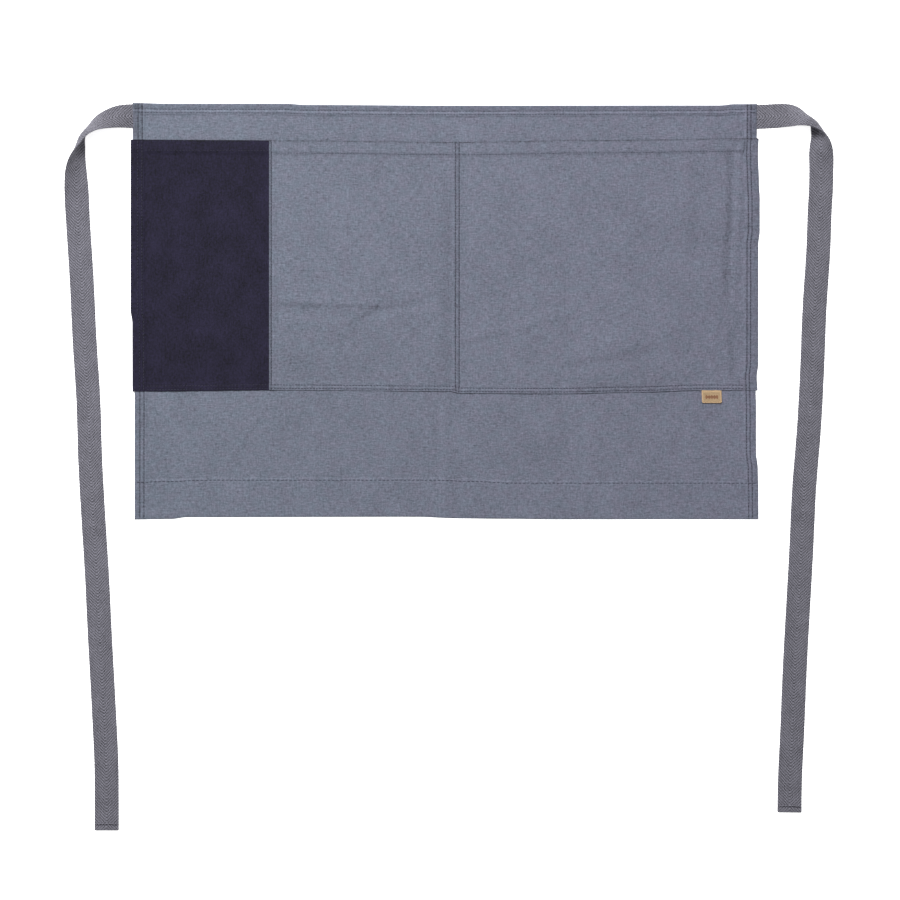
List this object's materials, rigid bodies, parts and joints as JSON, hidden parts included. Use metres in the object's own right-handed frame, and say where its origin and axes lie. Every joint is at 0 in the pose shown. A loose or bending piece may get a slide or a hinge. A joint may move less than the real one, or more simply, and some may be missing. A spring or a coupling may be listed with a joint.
{
  "type": "waist apron",
  "caption": "Waist apron laid flat: chambray skirt, a denim pocket and two chambray pockets that gape, herringbone tape ties at the top corners, small woven label.",
  "frame": {"origin": "middle of the skirt's back face, which rests on the surface", "axes": "+X across the front from the denim pocket to the label, +Y from the hem to the waist edge, +Z out of the front face"},
  "size_m": [0.8134, 0.7695, 0.025],
  "materials": {
    "chambray": "matte",
    "denim": "matte",
    "tape": "matte",
    "thread": "matte",
    "label": "matte"
  },
  "bodies": {
    "apron": {"skirt_panel": "chambray", "waist_hem": "chambray", "left_side_hem": "chambray", "right_side_hem": "chambray", "bottom_hem": "chambray", "left_tie_root": "tape", "right_tie_root": "tape", "denim_pocket_side_seam": "denim", "denim_pocket_bottom_seam": "denim", "pocket_lap_seam": "chambray", "pocket_division_seam": "chambray", "chambray_pocket_bottom_seam": "chambray", "chambray_pocket_side_seam": "chambray", "waist_hem_stitching": "thread", "left_side_stitching": "thread", "right_side_stitching": "thread", "bottom_hem_stitching": "thread", "pocket_bottom_stitching": "thread", "pocket_lap_stitching": "thread", "pocket_division_stitching": "thread"},
    "denim_pocket": {"denim_pocket_front": "denim", "denim_mouth_hem": "denim", "denim_mouth_stitching": "thread"},
    "middle_pocket": {"middle_pocket_front": "chambray", "middle_mouth_hem": "chambray", "middle_mouth_stitching": "thread"},
    "right_pocket": {"right_pocket_front": "chambray", "right_mouth_hem": "chambray", "right_mouth_stitching": "thread"},
    "left_tie_stub": {"left_tie_stub": "tape"},
    "left_tie_tail": {"left_tie_tail": "tape", "left_tie_end_stitching": "thread"},
    "right_tie_stub": {"right_tie_stub": "tape"},
    "right_tie_tail": {"right_tie_tail": "tape", "right_tie_end_stitching": "thread"},
    "label": {"label_tab": "label"}
  },
  "joints": [
    {"name": "denim_pocket_gape", "type": "hinge", "parent": "apron", "child": "denim_pocket", "pos_m": [-0.252, -0.078, 0.0009], "axis": [1, 0, 0], "range_deg": [0, 8]},
    {"name": "middle_pocket_gape", "type": "hinge", "parent": "apron", "child": "middle_pocket", "pos_m": [-0.086, -0.078, 0.0009], "axis": [1, 0, 0], "range_deg": [0, 8]},
    {"name": "right_pocket_gape", "type": "hinge", "parent": "apron", "child": "right_pocket", "pos_m": [0.167, -0.078, 0.0009], "axis": [1, 0, 0], "range_deg": [0, 8]},
    {"name": "left_tie_fold", "type": "hinge", "parent": "apron", "child": "left_tie_stub", "pos_m": [-0.3305, 0.207, 0.0022], "axis": [0, 1, 0], "range_deg": [0, 120]},
    {"name": "left_tie_swing", "type": "hinge", "parent": "left_tie_stub", "child": "left_tie_tail", "pos_m": [-0.3852, 0.179, 0.0125], "axis": [0, 0, -1], "range_deg": [-2, 45]},
    {"name": "right_tie_fold", "type": "hinge", "parent": "apron", "child": "right_tie_stub", "pos_m": [0.3305, 0.207, 0.0022], "axis": [0, -1, 0], "range_deg": [0, 120]},
    {"name": "right_tie_swing", "type": "hinge", "parent": "right_tie_stub", "child": "right_tie_tail", "pos_m": [0.3906, 0.1958, 0.0125], "axis": [0, 0, 1], "range_deg": [-2, 45]},
    {"name": "label_flip", "type": "hinge", "parent": "apron", "child": "label", "pos_m": [0.283, -0.0843, 0.0018], "axis": [-1, 0, 0], "range_deg": [0, 110]}
  ]
}
